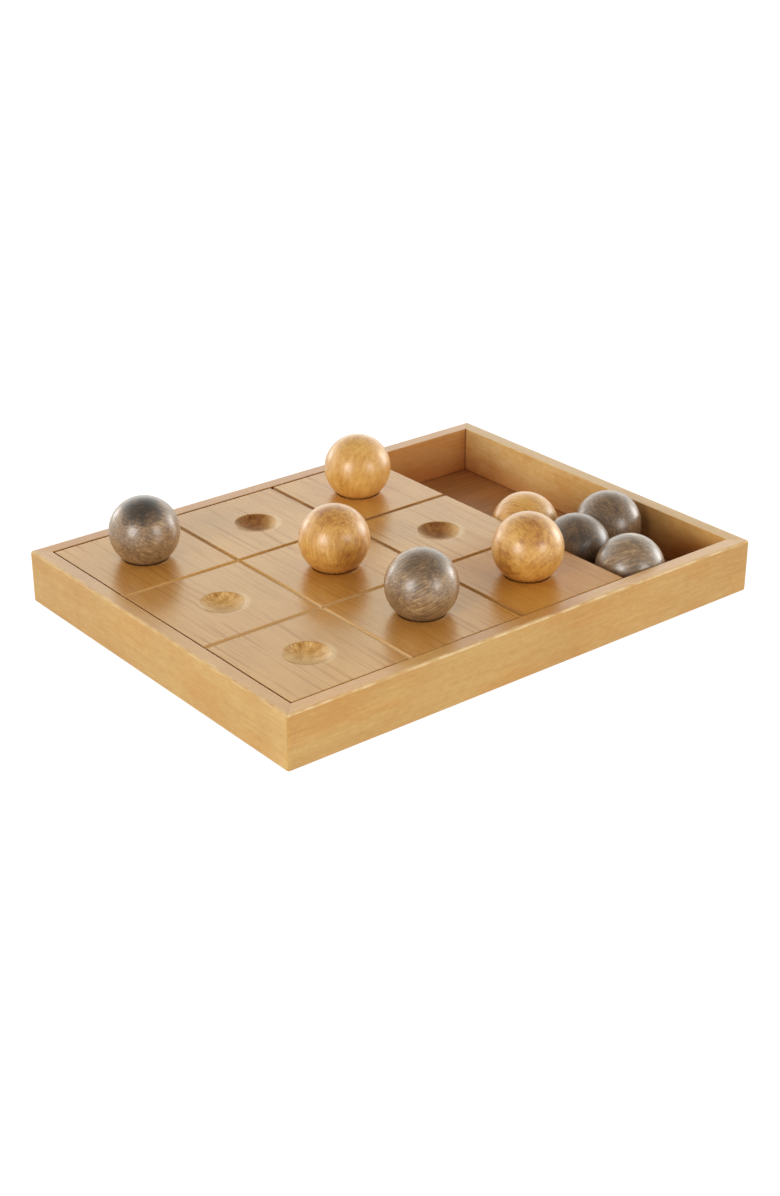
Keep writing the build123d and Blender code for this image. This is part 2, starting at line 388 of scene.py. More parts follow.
def turned_wood(name, grain, offset, pith, stops, spacing, ring, streak=0.35, hair=0.4,
                speckle=0.15, mottle=0.3, pore=0.6, dots=0.0, grain_freq=0.05, bend=1.0,
                gain=0.50, bias=0.0, warm=0.0, sheen=(1.0, 1.0, 1.0), specular=0.5,
                coat_ior=1.5, patches=()):
    """Solid wood cut on a lathe: growth shells round a pith line, end grain at the poles.

    grain is the fibre direction as seen by the camera, pith the (Y, Z) of the pith line and
    spacing the shell thickness, in mm. ring to dots set how strongly each part of the figure
    shows, grain_freq is the fibre noise along the grain, gain scales the whole figure, bias
    darkens, and warm paints the underside darker and warmer as painted shade. patches are
    (right, up, toward, size in degrees, darkening), placed as seen from the camera; those
    high on the ball paint the shade of its cap.
    """
    material, tree = new_material(name)
    point, raw = object_mm(tree, grain_turn(*grain), offset)
    bent = point.wander((0.020, 0.050, 0.050), 11.0 * bend)
    bent = bent.wander((0.06, 0.25, 0.25), 1.0)
    _, across, through = bent.split()
    from_pith_y = across - pith[0]
    from_pith_z = through - pith[1]
    radius = (from_pith_y * from_pith_y + from_pith_z * from_pith_z).math("SQRT")
    late = late_wood(radius / spacing, start=0.35, peak=0.9, shuffle=5.17,
                     spread=(0.25, 0.75), faintest=0.2)
    broad = bent.noise((grain_freq, 0.50, 0.50), roughness=0.6)
    fine = bent.noise((grain_freq * 2.2, 1.05, 1.05), roughness=0.62)
    dashes = bent.noise((grain_freq * 3.4, 2.9, 2.9), detail=2.0)
    speck = point.noise((0.80, 0.95, 0.95), roughness=0.65)
    large_cloud = point.noise((0.040, 0.060, 0.060), detail=2.0, roughness=0.55)
    small_cloud = point.noise((0.15, 0.20, 0.20), roughness=0.6)
    darkness = late.math("MULTIPLY_ADD", ring, 0.5 + bias)
    for source, low, high, weight in (
        (broad, 0.36, 0.64, streak * gain),
        (fine, 0.36, 0.64, hair * gain),
        (speck, 0.38, 0.62, speckle * gain),
        (large_cloud, 0.36, 0.64, 0.6 * mottle * gain),
        (small_cloud, 0.36, 0.64, 0.6 * mottle * gain),
    ):
        darkness = darkness + source.remap(low, high, -0.5, 0.5) * weight
    # spots placed as seen from the camera; those high on the ball paint the shade of its cap
    for right, up, toward, size, amount in patches:
        facing = raw.vector("NORMALIZE").dot(as_seen(right, up, toward))
        edge = facing + small_cloud.centred(0.35)
        outer_cos = math.cos(math.radians(size * 1.5))
        inner_cos = math.cos(math.radians(size * 0.4))
        darkness = darkness + edge.ease(outer_cos, inner_cos) * (amount * 0.65)
    colour = darkness.ramp([(place, srgb(*rgb)) for place, rgb in stops])
    pores = dashes.ease(0.58, 0.70, 0.0, 0.7) * pore
    colour = colour.tint(pores, (0.35, 0.30, 0.26))
    if dots:
        dot = point.noise((1.1, 1.3, 1.3), detail=1.0).ease(0.62, 0.74) * dots
        colour = colour.tint(dot, (0.50, 0.36, 0.24))
    # painted shade: the underside darker and warmer
    if warm:
        height = raw.split()[2] + large_cloud.centred(14.0)
        colour = colour.tint(height.ease(-3.0, -20.0, 0.0, warm), (1.02, 0.86, 0.62))
    relief = fine * 0.6 - pores * 0.8
    swell = raw.noise((0.10, 0.10, 0.10), detail=1.0)
    add_principled(tree, {
        "Base Color": colour,
        "Roughness": 0.5 + fine.centred(0.12),
        "IOR": 1.5,
        "Specular IOR Level": specular,
        "Specular Tint": (*sheen, 1.0),
        "Coat Weight": 1.0,
        "Coat Roughness": 0.29 + small_cloud.centred(0.10),
        "Coat IOR": coat_ior,
        "Normal": swell.bump(0.2, 0.0005, relief.bump(0.30, 0.00010)),
        "Coat Normal": relief.bump(0.04, 0.00010, swell.bump(0.15, 0.0005)),
    })
    return material


# ------------------------------------------------------------------ finish of the board, with painted light and shade

# (column, row) of the seats without a ball, counted from the middle one
EMPTY_SEATS = ((-1, -1), (-1, 0), (0, 1), (1, 0))
# parts of the camera's level directions along the board, rounded
VIEW_MAJOR, VIEW_MINOR = 0.783, 0.623


def groove_colour(raw, board_x, board_y, off_x, off_y):
    """Bare golden wood, painted lighter than the board for the groove's lit walls, with painted
    shade browner towards the trough and paler towards the front left.
    """
    diagonal = board_x * 0.70 + board_y * 0.70
    groove_shade = raw.noise((0.02, 0.02, 0.0), detail=2.0).ease(0.35, 0.65, 0.55, 1.15)
    groove_shade = groove_shade * diagonal.ease(-10.0, 75.0, 0.05, 0.95)
    pale = diagonal.ease(5.0, -75.0) * board_x.ease(44.0, 20.0)
    groove_shade = groove_shade.max(board_x.ease(20.0, 46.0, 0.0, 0.55))
    chatter = raw.noise((0.8, 0.8, 0.8), detail=2.0).ease(0.35, 0.65)
    colour = chatter.mix(srgb(212, 162, 90), srgb(184, 130, 64))
    colour = groove_shade.mix(colour, srgb(142, 88, 42))
    along_y = (abs(off_y) - abs(off_x)).ease(-0.3, 0.3)
    pale_colour = along_y.mix(srgb(196, 154, 102), srgb(216, 176, 122))
    return (pale * 0.85).mix(colour, pale_colour)


def seat_colour(raw, seat_x, seat_y, radius, right, near, shaded_dish):
    """Golden dishes; where the shade factor is 1 they get painted brown shade on the camera's
    left, and their walls get painted light.
    """
    mottle = raw.noise((0.22, 0.22, 0.22), roughness=0.6)
    fine = raw.noise((0.9, 0.5, 0.9), detail=2.0)
    gold = mottle.ease(0.36, 0.62).mix(srgb(224, 180, 114), srgb(196, 142, 76))
    gold = fine.ease(0.52, 0.70, 0.0, 0.5).mix(gold, srgb(168, 116, 54))
    brown = mottle.ease(0.36, 0.62).mix(srgb(172, 116, 64), srgb(138, 88, 46))
    # painted brown shade over the dish, thinning out towards the camera's right
    pool = (right + mottle.centred(10.0)).ease(1.0, 13.0, 1.0, 0.15) * shaded_dish
    colour = pool.mix(gold, brown)
    # painted reflection: the wall nearest the camera, and the left wall of a shaded dish, are
    # painted paler as a sheen from the backdrop
    left_wall = shaded_dish * right.ease(-9.5, -13.5, 0.0, 0.35)
    near_wall = (right * -0.16 + (near + mottle.centred(3.0))).ease(0.4, 5.0)
    wall_sheen = left_wall.max(near_wall) * shaded_dish.between(0.75, 0.82)
    colour = wall_sheen.mix(colour, shaded_dish.mix(srgb(206, 172, 112), srgb(212, 178, 130)))
    # painted light: the wall on the camera's right is painted as pale as the lit board
    right_wall = radius.ease(8.0, 14.0) * right.ease(5.0, 14.0)
    colour = (right_wall * shaded_dish.between(0.45, 0.60)).mix(colour, srgb(216, 182, 136))
    # dark spokes torn by the cutter, strongest on the left; the pale spokes are torn fibres
    # painted bright as highlights
    inverse = 1.0 / radius.max(0.5)
    around = raw.add("ShaderNodeCombineXYZ", {
        0: seat_x * inverse * 11.0,
        1: seat_y * inverse * 11.0,
        2: radius * 0.16,
    })
    spokes = around.noise(detail=2.0)
    strength = radius.ease(7.0, 13.5) * right.ease(6.0, -9.0, 0.25, 1.0)
    colour = colour.tint(spokes.ease(0.54, 0.66) * strength, (0.42, 0.28, 0.17))
    pale_spokes = spokes.ease(0.44, 0.33, 0.0, 0.70) * (strength * shaded_dish.between(1.0, 0.35))
    return pale_spokes.mix(colour, srgb(248, 224, 180))


def board_finish_and_shading(raw, colour, rough):
    """Colour of the board: grooves, dishes, lips, ball rings, sides; much of it painted light and
    shade.
    """
    x, y, z = raw.split()
    depth = BOARD_TOP - z
    board_x = x - BOARD_X
    board_y = y - BOARD_Y
    seat_x = board_x.math("WRAP", SEAT_PITCH / 2, -SEAT_PITCH / 2)
    seat_y = board_y.math("WRAP", SEAT_PITCH / 2, -SEAT_PITCH / 2)
    radius = (seat_x * seat_x + seat_y * seat_y).math("SQRT")
    in_seat = radius.ease(14.8, 16.6, 1.0, 0.0) * depth.ease(0.02, 0.4)
    off_x = abs(board_x) - GROOVE_AT
    off_y = abs(board_y) - GROOVE_AT
    in_groove = abs(off_x).min(abs(off_y)).ease(2.15, 1.5) * depth.ease(0.01, 0.22)
    colour = in_groove.mix(colour, groove_colour(raw, board_x, board_y, off_x, off_y))

    # place within the dish, to the camera's right and towards the camera
    right = seat_x * VIEW_MAJOR + seat_y * -VIEW_MINOR
    near = seat_x * -VIEW_MINOR + seat_y * -VIEW_MAJOR
    # the rear row and the right column get painted shade in their dishes
    shaded_dish = board_y.ease(30.0, 60.0).max(board_x.ease(30.0, 60.0))
    dish = seat_colour(raw, seat_x, seat_y, radius, right, near, shaded_dish)
    colour = in_seat.mix(colour, dish)

    # the lip gets a painted highlight on its right, and a thin line of painted shade on the near
    # side
    lip = radius.ease(14.0, 15.8) * radius.ease(17.2, 20.5, 1.0, 0.0)
    lip_highlight = lip * right.ease(6.0, 16.0, 0.0, 0.30)
    colour = (lip_highlight * depth.ease(5.0, 0.0)).mix(colour, srgb(240, 212, 164))
    cut = radius.ease(15.3, 16.1) * radius.ease(17.2, 16.3)
    cut = cut * near.ease(3.0, 12.0)
    colour = colour.tint(cut * 0.50, (0.50, 0.33, 0.18))

    # dishes that hold a ball get a ring of painted contact shadow round the edge
    column = (board_x / SEAT_PITCH).math("ROUND")
    row = (board_y / SEAT_PITCH).math("ROUND")
    seat_code = column * 3.0 + row
    holds_ball = 1.0
    for empty_column, empty_row in EMPTY_SEATS:
        empty_code = empty_column * 3.0 + empty_row
        holds_ball = holds_ball * (1.0 - seat_code.math("COMPARE", empty_code, 0.3))
    ring = radius.ease(14.4, 15.2) * radius.ease(16.9, 16.2)
    ring = ring * holds_ball * near.ease(-2.0, 6.0, 0.35, 0.95)
    colour = colour.tint(ring, (0.16, 0.09, 0.05))
    cut = cut.max(ring)
    rough = rough + in_seat * 0.16

    # painted shade down the front, rear and left sides, in the gap beside the rails
    outer = (board_x * -1.0).max(abs(board_y)).ease(HALF - 0.6, HALF - 0.3)
    at_left = board_x.ease(-HALF + 1.0, -HALF + 0.3)
    side = at_left.between(depth.ease(0.32, 0.7), depth.ease(0.06, 0.26)) * outer
    gap_shade = at_left.mix((0.30, 0.12, 0.04, 1.0), (0.48, 0.16, 0.05, 1.0))
    colour = colour.tint(side * 0.95, gap_shade)

    # the front end of the trough side is a little darker and duller
    bare = (in_seat * shaded_dish.between(0.6, 1.1)).max(in_groove)
    coat = 1.0 - bare * 0.8
    darker_front_right = (board_x + board_y * -0.25).ease(10.0, 105.0)
    darker_front_right = darker_front_right * board_y.ease(-15.0, -62.0, 0.18, 1.0)
    colour = colour.tint(darker_front_right, (0.94, 0.89, 0.71))
    coat = coat * darker_front_right.between(1.0, 0.35)
    coat = coat * board_y.ease(40.0, 130.0, 1.0, 0.82)
    coat = coat * (1.0 - side.max(cut * 0.8))
    return colour, rough, coat


# ------------------------------------------------------------------ finish of the rails, with painted light and shade

# inward: direction of the inside face. top, face: painted shade on the top, and painted light
# and shade on the other faces. inside: painted light and shade on the faces in the trough.
# The pair after it: least and most of the pale eased edges, part wear, part painted highlight.
# coat: lacquer left on the top.
PLAIN = (1.0, 1.0, 1.0)
REDDER = (0.94, 0.78, 0.78)
RAILS = {
    "front": dict(inward=(0, 1, 0), top=(0.97, 0.92, 0.66), face=(0.99, 1.02, 1.05),
                  inside=REDDER, edge_wear_and_highlight=(0.10, 0.62), coat=0.90),
    "rear": dict(inward=(0, -1, 0), top=(0.84, 0.66, 0.25), face=PLAIN,
                 inside=REDDER, edge_wear_and_highlight=(0.0, 0.20), coat=0.70),
    "left": dict(inward=(1, 0, 0), top=(0.87, 0.78, 0.40), face=(0.94, 0.955, 0.90),
                 inside=REDDER, edge_wear_and_highlight=(0.0, 0.20), coat=0.86),
    "right": dict(inward=(-1, 0, 0), top=(0.84, 0.82, 0.44), face=PLAIN,
                  inside=(1.32, 1.54, 2.00), edge_wear_and_highlight=(0.0, 0.20), coat=0.60),
}


def rubbed_and_lit_edge(which, raw, colour, top):
    """Pale patches along the outer top edge of the front or left rail, part rubbed-through finish
    and part painted highlight; on the left rail, painted sheen on the outer face too.
    """
    x, y, z = raw.split()
    from_edge = y - FRONT_OUTER if which == "front" else x - LEFT_OUTER
    patchy = raw.noise((0.05, 0.05, 0.0), detail=4.0, roughness=0.65)
    most = 0.75 if which == "left" else 0.5
    rub_and_highlight = (from_edge + patchy.centred(9.0)).ease(3.0, 1.0, 0.0, most) * top
    colour = rub_and_highlight.mix(colour, srgb(226, 188, 126))
    if which == "left":
        # painted sheen on the outer face, towards its top and its front end
        face_sheen = y.ease(120.0, -120.0, 0.25, 1.0) * (z + patchy.centred(16.0)).ease(14.0, 34.0)
        colour = colour.tint(face_sheen * (1.0 - top), (1.06, 1.12, 1.24))
        front_end = y.ease(-122.0, -151.0, 0.0, 0.8) * (1.0 - top)
        colour = colour.tint(front_end, (1.10, 1.16, 1.32))
    return colour, rub_and_highlight


def trough_shade_and_blots(raw, colour, inside, y, z, haze):
    """Painted shadows and shade on the inside face of the right rail, and blots in its colour."""
    # painted shadow of the front rail over the front end, deepest low down
    front_end = y.ease(-40.0, -125.0) * z.ease(38.0, 22.0, 0.12, 1.0)
    colour = colour.tint(inside * front_end, (0.56, 0.34, 0.22))
    # darker and redder low down near the rear corner
    rear_foot = y.ease(55.0, 120.0) * (z + haze.centred(12.0)).ease(30.0, 15.0)
    colour = colour.tint(inside * rear_foot * 0.85, (0.84, 0.68, 0.60))
    # painted shade deepening towards the front
    colour = colour.tint(inside * y.ease(-58.0, -98.0), (0.93, 0.80, 0.64))
    blots = raw.noise((0.028, 0.028, 0.05), roughness=0.6).ease(0.50, 0.66, 0.0, 0.55)
    colour = colour.tint(inside * blots, (0.92, 0.74, 0.54))
    # painted shadow of the ball that sits against the rail
    band = y.ease(-42.0, -56.0) * y.ease(-96.0, -70.0)
    return colour.tint(inside * band * 0.75, (0.56, 0.44, 0.38))


def rail_finish_and_shading(which):
    look = RAILS[which]

    def finish(raw, colour, rough):
        x, y, z = raw.split()
        normal = raw.add("ShaderNodeNewGeometry", {}, "Normal")
        normal_x, normal_y, normal_z = normal.split()
        # painted shade on the top faces, which take less light than the sides, and painted light
        # and shade on the other faces; the tops also carry more lacquer
        top = normal_z.ease(0.70, 0.97)
        colour = colour.tint(top, look["top"])
        colour = top.mix(colour.times(look["face"]), colour)
        # painted reflection and shadow of a front-row ball: the middle of the front rail's top is
        # browner
        band = x.ease(-100.0, -50.0) * x.ease(75.0, 20.0) if which == "front" else 0.0
        band = band * top
        colour = colour.tint(band, (0.80, 0.66, 0.50))
        rub_and_highlight = 0.0
        if which in ("front", "left"):
            colour, rub_and_highlight = rubbed_and_lit_edge(which, raw, colour, top)
        # eased edges paler, partly rubbed wear and partly a painted highlight along the arris
        flatness = abs(normal_x).max(abs(normal_y)).max(abs(normal_z))
        edge_wear_and_highlight = flatness.ease(0.985, 0.86) * normal_z.ease(0.1, 0.4)
        patchy = raw.noise((0.08, 0.08, 0.3), detail=2.0)
        edge_wear_and_highlight = edge_wear_and_highlight * patchy.ease(0.35, 0.62, *look["edge_wear_and_highlight"])
        colour = edge_wear_and_highlight.mix(colour, srgb(246, 220, 174))
        # painted shade darkens the slot beside the board
        inner_face = normal.dot(look["inward"]).ease(0.25, 0.75)
        beside = x.ease(board_hi.x + 0.9, board_hi.x + 0.3)
        slot = inner_face * beside * z.ease(RAIL_TOP - 0.15, RAIL_TOP - 0.65, 0.0, 0.95)
        colour = colour.tint(slot, (0.34, 0.11, 0.04))
        # painted light and shade on the inside faces of the trough, and painted shade lower down
        inside = inner_face * (1.0 - beside)
        haze = raw.noise((0.02, 0.02, 0.08), detail=2.0)
        low = (z + haze.centred(22.0)).ease(26.0, 6.0)
        colour = colour.tint(inside, look["inside"])
        colour = colour.tint(inside * low, (0.92, 0.74, 0.64))
        if which == "right":
            colour = trough_shade_and_blots(raw, colour, inside, y, z, haze)
        if which in ("right", "rear"):
            # dark seam where the two rails meet
            to_corner = REAR_INNER - y if which == "right" else RIGHT_INNER - x
            seam = to_corner.ease(1.1, 0.3)
            colour = colour.tint(inside * seam * 0.75, (0.45, 0.30, 0.20))
        # darker along the bottom of the inside faces
        foot = z.ease(7.0, 5.0)
        colour = colour.tint(inside * foot * 0.8, (0.40, 0.26, 0.18))
        rough = rough - top * 0.06
        # the edge patches are a plain zero on the rear and right rails, so their node is made
        # directly
        dulled = (band * 0.30).max(math_node(top.tree, "MULTIPLY", rub_and_highlight, 0.6))
        return colour, rough, top.between(0.40, look["coat"]) * (1.0 - dulled)

    return finish


# ------------------------------------------------------------------ tray materials

ALONG_X = (0, 0, 0)
ALONG_Y = (0, 0, math.radians(90))
ROLLED = (math.radians(90), 0, 0)  # grain along X, the figure turned a quarter round it


def rail_wood(which, turn, offset):
    return flat_wood(
        f"rail_{which}_lacquered", turn, offset, finish=rail_finish_and_shading(which),
        palette=((210, 168, 102), (193, 142, 75), (165, 110, 49)),
        roughness=0.36, coat=0.8, coat_roughness=0.26, specular=0.8, amber=0.9,
        line_gain=0.55, cloudy=0.85, waviness=0.25, ring=0.3, pore=0.25, mottle=0.45, tone=0.65)


def felt_material():
    material, tree = new_material("felt_pad")
    point, _ = object_mm(tree)
    tufts = point.noise(1.6, detail=5.0, roughness=0.7)
    fibres = point.noise(6.0, detail=2.0)
    colour = (tufts * 0.6 + fibres * 0.4).ramp([
        (0.3, srgb(70, 52, 38)),
        (0.55, srgb(104, 80, 60)),
        (0.75, srgb(140, 114, 90)),
    ])
    add_principled(tree, {
        "Base Color": colour,
        "Roughness": 0.95,
        "Sheen Weight": 0.5,
        "Normal": tufts.bump(0.7, 0.0003),
    })
    return material


def steel_material():
    material, tree = new_material("brad_steel")
    point, _ = object_mm(tree)
    cloud = point.noise(3.0)
    add_principled(tree, {
        "Base Color": cloud.ramp([(0.3, (0.42, 0.40, 0.38, 1)), (0.7, (0.62, 0.61, 0.60, 1))]),
        "Metallic": 1.0,
        "Roughness": cloud.ease(0.3, 0.7, 0.28, 0.45),
        "Normal": cloud.bump(0.2, 0.00005),
    })
    return material


def assign(obj, material):
    obj.data.materials.clear()
    obj.data.materials.append(material)


# offsets keep the pieces from sharing one figure
board_wood = flat_wood(
    "board_lacquered", ALONG_Y, (0, 0, 0), finish=board_finish_and_shading,
    palette=((198, 141, 67), (174, 113, 46), (134, 76, 26)),
    roughness=0.27, coat=0.62, coat_roughness=0.24, specular=1.0, amber=0.4,
    line_gain=0.42, cloudy=0.9, waviness=0.35, ring=0.5, pore=0.3, mottle=0.18,
    streaks=(0.40, 0.72))
front_wood = rail_wood("front", ALONG_X, (0, 0, 400))
rear_wood = rail_wood("rear", ALONG_X, (777, 50, 900))
left_wood = rail_wood("left", ALONG_Y, (300, 0, 1500))
right_wood = rail_wood("right", ALONG_Y, (1300, 0, 2100))
base_wood = flat_wood(
    "base_veneer", ALONG_X, (0, 0, 3000),
    palette=((204, 143, 83), (176, 116, 61), (124, 78, 38)),
    roughness=0.42, coat=0.15, coat_roughness=0.3, line_gain=1.1)
wall_wood = flat_wood(
    "wall_lacquered", ALONG_Y, (0, 0, 3600),
    palette=((214, 166, 106), (190, 138, 78), (142, 94, 48)),
    roughness=0.38, coat=0.2, coat_roughness=0.3)
bearer_wood = flat_wood(
    "bearer_bare", ALONG_X, (0, 0, 4200),
    palette=((224, 190, 140), (204, 166, 112), (168, 126, 78)),
    roughness=0.6, coat=0.0, coat_roughness=0.3)
spline_wood = flat_wood(
    "tongue_bare", ROLLED, (0, 0, 4800),
    palette=((190, 150, 100), (164, 120, 74), (120, 82, 46)),
    roughness=0.6, coat=0.0, coat_roughness=0.3)
felt = felt_material()
steel = steel_material()

CORNERS = ("front_left", "front_right", "rear_left", "rear_right")
piece_materials = {
    "front_rail": front_wood,
    "rear_rail": rear_wood,
    "left_rail": left_wood,
    "right_rail": right_wood,
    "base_panel": base_wood,
    "trough_wall": wall_wood,
    "base_brads": steel,
    **{"bearer_" + place: bearer_wood for place in ("left", "front", "rear", "centre")},
    **{"spline_" + corner: spline_wood for corner in CORNERS},
    **{"foot_pad_" + corner: felt for corner in CORNERS},
}
for piece, material in piece_materials.items():
    assign(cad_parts[piece], material)


def add_object(name, mesh):
    obj = bpy.data.objects.new(name, mesh)
    scene.collection.objects.link(obj)
    return obj


def smooth(obj):
    for polygon in obj.data.polygons:
        polygon.use_smooth = True


# ------------------------------------------------------------------ board

ARRIS = 0.45  # radius of the eased top edge
FLAT_HALF = HALF - ARRIS
SIDE_STEPS = 24  # quads along each side of a cell
ARRIS_STEPS = 5
CORNER_STEPS = 4

# half cross-section of a groove: (distance from its centre line, height)
GROOVE_PROFILE = [
    (2.15, 0.0), (2.05, -0.010), (1.95, -0.034), (1.85, -0.075), (1.75, -0.15),
    (1.62, -0.30), (1.45, -0.54), (1.25, -0.77), (1.0, -0.97), (0.75, -1.09),
    (0.45, -1.17), (0.2, -1.2), (0.0, -1.2),
]
GROOVE_HALF = GROOVE_PROFILE[0][0]
GROOVE_HEIGHT = dict(GROOVE_PROFILE)
GROOVE_OFFSETS = sorted({off for off in GROOVE_HEIGHT} | {-off for off in GROOVE_HEIGHT})
# start and end of the three rows of cells, the same along X and Y
CELLS = [
    (-FLAT_HALF, -GROOVE_AT - GROOVE_HALF),
    (-GROOVE_AT + GROOVE_HALF, GROOVE_AT - GROOVE_HALF),
    (GROOVE_AT + GROOVE_HALF, FLAT_HALF),
]

# dish: a spherical floor that meets the top at LIP_RADIUS, where a rolled lip takes over
LIP_RADIUS = math.sqrt(2 * SEAT_SPHERE * SEAT_DEPTH - SEAT_DEPTH ** 2)
LIP_SLOPE = math.asin(LIP_RADIUS / SEAT_SPHERE)
LIP_ROLL = 1.5
LIP_TANGENT = LIP_ROLL * math.tan(LIP_SLOPE / 2)
ROLL_INNER = LIP_RADIUS - LIP_TANGENT * math.cos(LIP_SLOPE)
ROLL_OUTER = LIP_RADIUS + LIP_TANGENT
SEAT_RADII = [
    *np.linspace(0, ROLL_INNER - 0.35, 16)[1:],
    ROLL_INNER - 0.12,
    *np.linspace(ROLL_INNER, ROLL_OUTER, 8),
    ROLL_OUTER + 0.25, ROLL_OUTER + 0.9, ROLL_OUTER + 2.4, 20.5, 24.0,
]
# steps from the last round ring to the square edge of the cell
SQUARING = (0.16, 0.34, 0.54, 0.74, 0.90, 0.97)


def seat_height(radius):
    if radius >= ROLL_OUTER:
        return 0.0
    if radius >= ROLL_INNER:
        inward = ROLL_OUTER - radius
        return -(LIP_ROLL - math.sqrt(max(0.0, LIP_ROLL * LIP_ROLL - inward * inward)))
    return -(SEAT_DEPTH - (SEAT_SPHERE - math.sqrt(SEAT_SPHERE ** 2 - radius * radius)))


def cell_stations(start, end):
    """Stations along one side of a cell, slightly closer together near its ends."""
    even = np.linspace(0, 1, SIDE_STEPS + 1)
    eased = 0.5 - 0.5 * np.cos(np.pi * even)
    return [start + (end - start) * float(t) for t in 0.72 * even + 0.28 * eased]


class MeshBuilder:
    """Vertices shared by place, and the faces between them."""

    def __init__(self):
        self.vertices = []
        self.faces = []
        self.index = {}

    def vertex(self, x, y, z):
        key = (round(x, 4), round(y, 4), round(z, 4))
        if key not in self.index:
            self.index[key] = len(self.vertices)
            self.vertices.append((x, y, z))
        return self.index[key]

    def face(self, corners):
        """Add a face, leaving out corners that fall together."""
        kept = []
        for corner in corners:
            if not kept or kept[-1] != corner:
                kept.append(corner)
        if kept[0] == kept[-1]:
            kept.pop()
        if len(kept) >= 3:
            self.faces.append(kept)

    def join(self, rings):
        """Fill between successive closed rings."""
        for first, second in zip(rings, rings[1:]):
            count = len(first)
            for k in range(count):
                after = (k + 1) % count
                self.face([first[k], second[k], second[after], first[after]])


def add_cell(build, centre_x, centre_y, span_x, span_y):
    """One square of the board with its dish: round rings that become square."""
    (left, right), (front, rear) = span_x, span_y
    along_x, along_y = cell_stations(*span_x), cell_stations(*span_y)
    square = [(x, front) for x in along_x[:-1]]
    square += [(right, y) for y in along_y[:-1]]
    square += [(x, rear) for x in along_x[:0:-1]]
    square += [(left, y) for y in along_y[:0:-1]]
    count = 4 * SIDE_STEPS
    # ring angles: even, the first towards the first corner
    angles = [-0.75 * math.pi + 2 * math.pi * k / count for k in range(count)]

    def round_ring(radius):
        return [(centre_x + radius * math.cos(angle), centre_y + radius * math.sin(angle))
                for angle in angles]

    rings = []
    for radius in SEAT_RADII:
        height = seat_height(radius)
        rings.append([build.vertex(x, y, height) for x, y in round_ring(radius)])
    last = round_ring(SEAT_RADII[-1])
    for t in SQUARING:
        rings.append([
            build.vertex(x + (edge_x - x) * t, y + (edge_y - y) * t, 0.0)
            for (x, y), (edge_x, edge_y) in zip(last, square)
        ])
    rings.append([build.vertex(x, y, 0.0) for x, y in square])
    middle = build.vertex(centre_x, centre_y, -SEAT_DEPTH)
    for k in range(count):
        build.face([middle, rings[0][k], rings[0][(k + 1) % count]])
    build.join(rings)


def add_grooves(build):
    """Two grooves along Y and two along X, and their four crossings."""
    vertex = build.vertex
    steps = list(zip(GROOVE_OFFSETS, GROOVE_OFFSETS[1:]))
    for side in (-1, 1):
        for span in CELLS:
            stations = cell_stations(*span)
            for start, end in zip(stations, stations[1:]):
                for off0, off1 in steps:
                    z0, z1 = GROOVE_HEIGHT[abs(off0)], GROOVE_HEIGHT[abs(off1)]
                    at0, at1 = side * GROOVE_AT + off0, side * GROOVE_AT + off1
                    build.face([vertex(at0, start, z0), vertex(at1, start, z1),
                                vertex(at1, end, z1), vertex(at0, end, z0)])
                    build.face([vertex(start, at1, z1), vertex(start, at0, z0),
                                vertex(end, at0, z0), vertex(end, at1, z1)][::-1])
    for side_x in (-1, 1):
        for side_y in (-1, 1):
            for x0, x1 in steps:
                for y0, y1 in steps:
                    build.face([
                        vertex(side_x * GROOVE_AT + off_x, side_y * GROOVE_AT + off_y,
                               min(GROOVE_HEIGHT[abs(off_x)], GROOVE_HEIGHT[abs(off_y)]))
                        for off_x, off_y in ((x0, y0), (x1, y0), (x1, y1), (x0, y1))
                    ])


def board_outline():
    """Points round the edge of the flat top, each with its outward direction."""
    rim = []  # (place along the side, height), dipping where a groove runs out
    for i, span in enumerate(CELLS):
        rim += [(along, 0.0) for along in cell_stations(*span)]
        if i < 2:
            groove = -GROOVE_AT if i == 0 else GROOVE_AT
            rim += [(groove + off, GROOVE_HEIGHT[abs(off)]) for off in GROOVE_OFFSETS[1:-1]]
    sides = [
        ((0, -1), [(along, -FLAT_HALF, z) for along, z in rim]),
        ((1, 0), [(FLAT_HALF, along, z) for along, z in rim]),
        ((0, 1), [(along, FLAT_HALF, z) for along, z in rim[::-1]]),
        ((-1, 0), [(-FLAT_HALF, along, z) for along, z in rim[::-1]]),
    ]
    outline = []
    for i, (outward, points) in enumerate(sides):
        # each corner fans from the side before to this one
        before = sides[i - 1][0]
        start = math.atan2(before[1], before[0])
        end = math.atan2(outward[1], outward[0])
        if end < start:
            end += 2 * math.pi
        for k in range(CORNER_STEPS + 1):
            angle = start + (end - start) * k / CORNER_STEPS
            outline.append((points[0], (math.cos(angle), math.sin(angle))))
        outline += [(point, outward) for point in points[1:-1]]
    return outline


